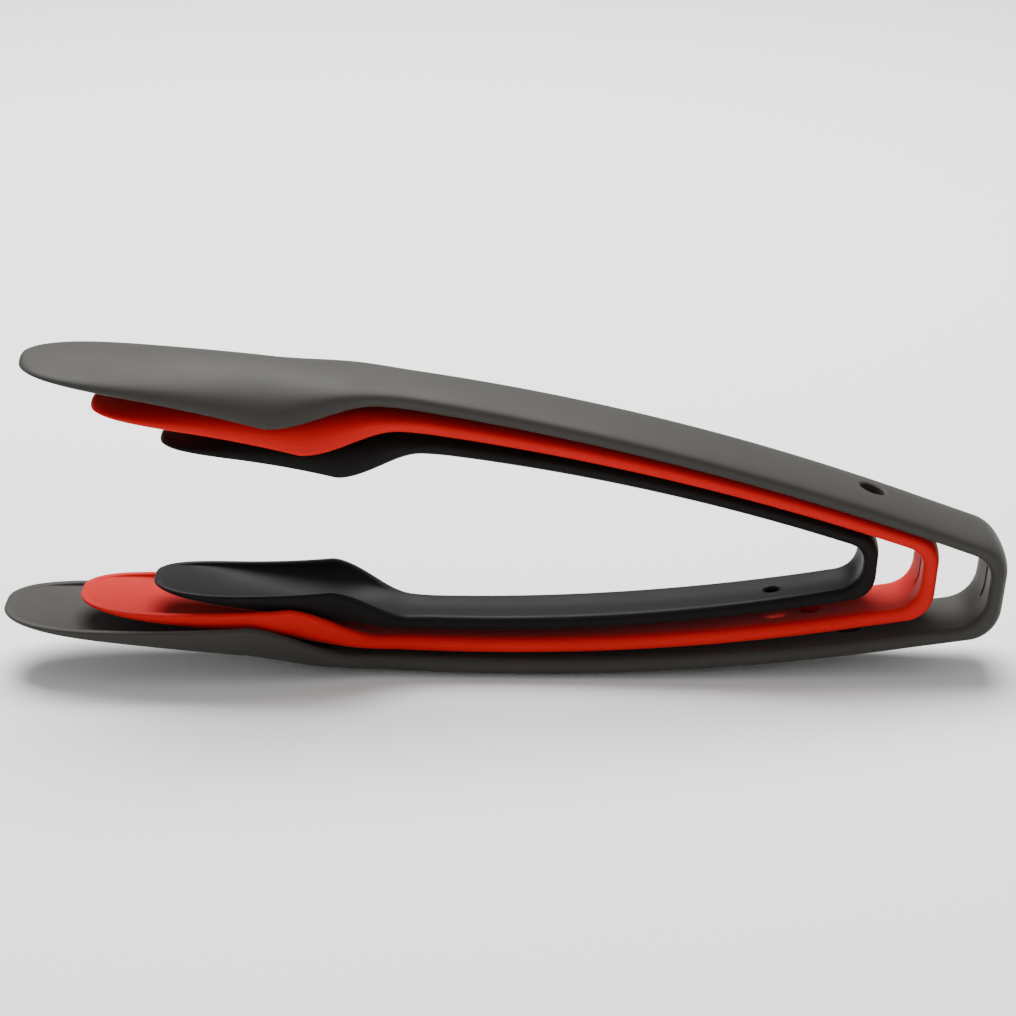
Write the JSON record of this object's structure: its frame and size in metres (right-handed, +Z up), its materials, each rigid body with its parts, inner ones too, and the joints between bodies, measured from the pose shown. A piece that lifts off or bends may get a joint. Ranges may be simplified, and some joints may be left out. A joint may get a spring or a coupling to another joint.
{
  "type": "nesting spring tongs",
  "caption": "Set of nested one-piece spring kitchen tongs: silicone covered steel bent into a U, each with two scoop-shaped jaws, the smaller ones stored inside the largest.",
  "frame": {"origin": "centre of the nest's outline, on the surface that the back of the large tong's lower arm lies on", "axes": "+X from the tips towards the bent ends, +Y across the arms, +Z up"},
  "size_m": [0.3022, 0.044, 0.0986],
  "materials": {
    "grey_silicone": "satin moulded silicone, warm grey",
    "red_silicone": "satin moulded silicone, tomato red",
    "black_silicone": "satin moulded silicone, black",
    "spring_steel": "brushed stainless spring strip"
  },
  "bodies": {
    "nest_lower": {"large_lower_jaw": "grey_silicone", "large_lower_core": "spring_steel", "large_bow": "grey_silicone", "large_bow_spring": "spring_steel", "medium_lower_jaw": "red_silicone", "medium_lower_core": "spring_steel", "medium_bow": "red_silicone", "medium_bow_spring": "spring_steel", "small_lower_jaw": "black_silicone", "small_lower_core": "spring_steel", "small_bow": "black_silicone", "small_bow_spring": "spring_steel"},
    "large_upper": {"large_upper_jaw": "grey_silicone", "large_upper_core": "spring_steel"},
    "medium_upper": {"medium_upper_jaw": "red_silicone", "medium_upper_core": "spring_steel"},
    "small_upper": {"small_upper_jaw": "black_silicone", "small_upper_core": "spring_steel"}
  },
  "joints": [
    {"name": "large_squeeze", "type": "hinge", "parent": "nest_lower", "child": "large_upper", "pos_m": [0.1173, 0, 0.031], "axis": [0, -1, 0], "range_deg": [0, 11], "stiffness_Nm_per_rad": 6, "springref_deg": -2.86, "deforming": ["large_bow", "large_bow_spring"]},
    {"name": "medium_squeeze", "type": "hinge", "parent": "nest_lower", "child": "medium_upper", "pos_m": [0.1173, 0, 0.031], "axis": [0, -1, 0], "range_deg": [0, 11], "stiffness_Nm_per_rad": 4.5, "springref_deg": -2.86, "deforming": ["medium_bow", "medium_bow_spring"]},
    {"name": "small_squeeze", "type": "hinge", "parent": "nest_lower", "child": "small_upper", "pos_m": [0.1173, 0, 0.031], "axis": [0, -1, 0], "range_deg": [0, 11], "stiffness_Nm_per_rad": 3, "springref_deg": -2.86, "deforming": ["small_bow", "small_bow_spring"]}
  ],
  "couplings": [
    {"joint": "medium_squeeze", "follows": "large_squeeze", "ratio": 1},
    {"joint": "small_squeeze", "follows": "large_squeeze", "ratio": 1}
  ]
}
